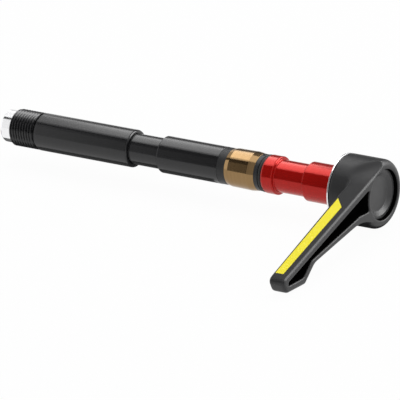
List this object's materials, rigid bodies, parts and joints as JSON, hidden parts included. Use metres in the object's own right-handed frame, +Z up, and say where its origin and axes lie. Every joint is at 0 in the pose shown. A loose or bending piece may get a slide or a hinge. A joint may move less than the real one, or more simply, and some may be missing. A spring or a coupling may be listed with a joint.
{
  "type": "bicycle thru axle",
  "caption": "Front bicycle thru axle: hollow threaded shaft with a stepped journal, brass detent ring, red sleeve and a pull-out lever that re-indexes on a sprung ratchet.",
  "frame": {"origin": "on the axle's axis, in the face of the washer that clamps against the fork", "axes": "+X along the axle from the threaded end towards the lever, +Z up as the axle lies on a table, lever arm towards -Y"},
  "size_m": [0.1402, 0.0697, 0.0222],
  "materials": {
    "black_anodised": "gloss black anodised",
    "bright_aluminium": "polished",
    "black_polymer": "matte",
    "brass": "satin turned",
    "grey_polymer": "satin",
    "seal_rubber": "matte",
    "red_anodised": "gloss red anodised",
    "polished_steel": "polished",
    "hardened_steel": "satin",
    "spring_steel": "drawn wire",
    "lever_composite": "fine moulded grain",
    "yellow_film": "satin film",
    "cap_composite": "satin moulded"
  },
  "bodies": {
    "axle": {"axle_shaft": "black_anodised", "nose_plug": "bright_aluminium", "guide_ring": "black_polymer", "brass_ring": "brass", "spacer_ring": "grey_polymer", "seal_ring": "seal_rubber", "red_sleeve": "red_anodised", "clamp_washer": "polished_steel", "ratchet_hub": "hardened_steel", "return_spring": "spring_steel"},
    "plunger": {"pull_rod": "hardened_steel", "rod_washer": "polished_steel", "rod_nut": "hardened_steel"},
    "lever": {"lever": "lever_composite", "lever_stripe": "yellow_film", "spline_insert": "hardened_steel", "end_cap": "cap_composite"}
  },
  "joints": [
    {"name": "lever_pull", "type": "slide", "parent": "axle", "child": "plunger", "axis": [1, 0, 0], "range_m": [0, 0.004], "stiffness_N_per_m": 600, "springref_m": -0.008, "deforming": ["return_spring"]},
    {"name": "lever_turn", "type": "hinge", "parent": "plunger", "child": "lever", "pos_m": [0, 0, 0], "axis": [1, 0, 0], "continuous": true}
  ]
}
